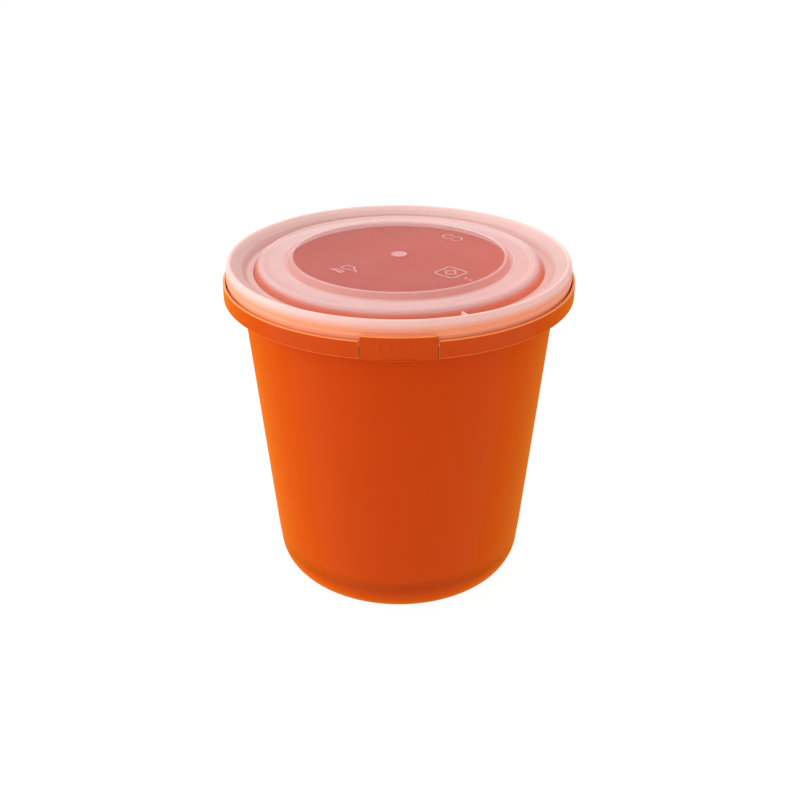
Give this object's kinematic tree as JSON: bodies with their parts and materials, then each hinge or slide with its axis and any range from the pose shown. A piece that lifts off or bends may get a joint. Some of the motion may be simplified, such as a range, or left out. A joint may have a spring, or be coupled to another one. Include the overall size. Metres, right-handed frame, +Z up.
{
  "type": "biohazard waste bin",
  "caption": "Round tapered waste tub with an upstanding tamper-evident collar, a fold-down tear tab at the front and a translucent push-on lid.",
  "frame": {"origin": "centre of the foot ring, on the surface that the tub stands on", "axes": "+Z up along the tub's axis, -Y towards the tear tab at the front, +X to the right of the tab as seen from the front"},
  "size_m": [0.133, 0.133, 0.1309],
  "materials": {
    "tub_plastic": "orange moulded polypropylene, slightly translucent, satin with a fine texture",
    "lid_plastic": "natural translucent polypropylene, frosted, with a polished clearer centre disc"
  },
  "bodies": {
    "tub_body": {"tub": "tub_plastic", "tab_hinge": "tub_plastic", "left_bridge": "tub_plastic", "right_bridge": "tub_plastic"},
    "tab_body": {"tear_tab": "tub_plastic"},
    "lid_body": {"lid": "lid_plastic"}
  },
  "joints": [
    {"name": "lid_lift", "type": "slide", "parent": "tub_body", "child": "lid_body", "axis": [0, 0, 1], "range_m": [0, 0.08]},
    {"name": "tab_fold", "type": "hinge", "parent": "tub_body", "child": "tab_body", "pos_m": [0, -0.0662, 0.11665], "axis": [1, 0, 0], "range_deg": [0, 120]}
  ]
}
